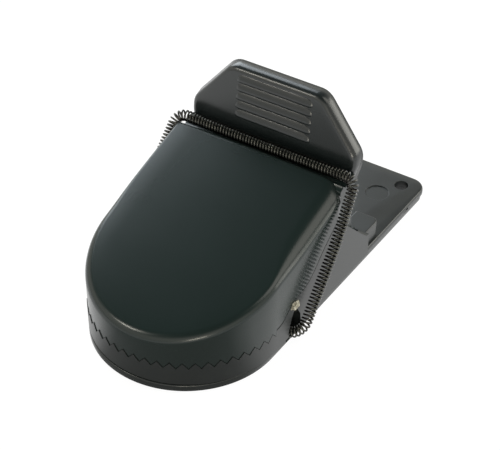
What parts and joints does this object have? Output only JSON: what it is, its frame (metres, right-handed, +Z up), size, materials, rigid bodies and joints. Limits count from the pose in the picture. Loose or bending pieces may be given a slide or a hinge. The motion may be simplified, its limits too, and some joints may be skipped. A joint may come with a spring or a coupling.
{
  "type": "snap mouse trap",
  "caption": "Domed plastic jaw, pulled shut on a flat base by a long wrap-round coil spring, opened by pressing a ribbed tab and held by a trip pedal.",
  "frame": {"origin": "on the table, under the middle of the base", "axes": "+X to the trap's right, +Y to the rear edge with the screw holes, +Z up"},
  "size_m": [0.0604, 0.1068, 0.0519],
  "materials": {
    "base_plastic": "satin moulded",
    "cover_plastic": "satin moulded",
    "jaw_plastic": "gloss moulded",
    "spring_steel": "bright drawn wire, oiled dark",
    "pin_steel": "ground",
    "pedal_plastic": "satin moulded",
    "cup_plastic": "satin moulded"
  },
  "bodies": {
    "base": {"base_shell": "base_plastic", "bottom_cover": "cover_plastic", "hinge_pin": "pin_steel", "main_spring": "spring_steel", "anchor_pin_left": "pin_steel", "anchor_pin_right": "pin_steel", "pedal_pin": "pin_steel"},
    "jaw": {"upper_jaw": "jaw_plastic"},
    "pedal": {"trip_pedal": "pedal_plastic"},
    "cup": {"bait_cup": "cup_plastic"}
  },
  "joints": [
    {"name": "jaw_hinge", "type": "hinge", "parent": "base", "child": "jaw", "pos_m": [0, 0.01505, 0.0085], "axis": [-1, 0, 0], "range_deg": [0, 70], "stiffness_Nm_per_rad": 0.1, "springref_deg": -85.94, "deforming": ["main_spring"]},
    {"name": "pedal_hinge", "type": "hinge", "parent": "base", "child": "pedal", "pos_m": [0, -0.00095, 0.0066], "axis": [-1, 0, 0], "range_deg": [0, 7]},
    {"name": "cup_slide", "type": "slide", "parent": "base", "child": "cup", "axis": [0, 0, -1], "range_m": [0, 0.012]}
  ]
}
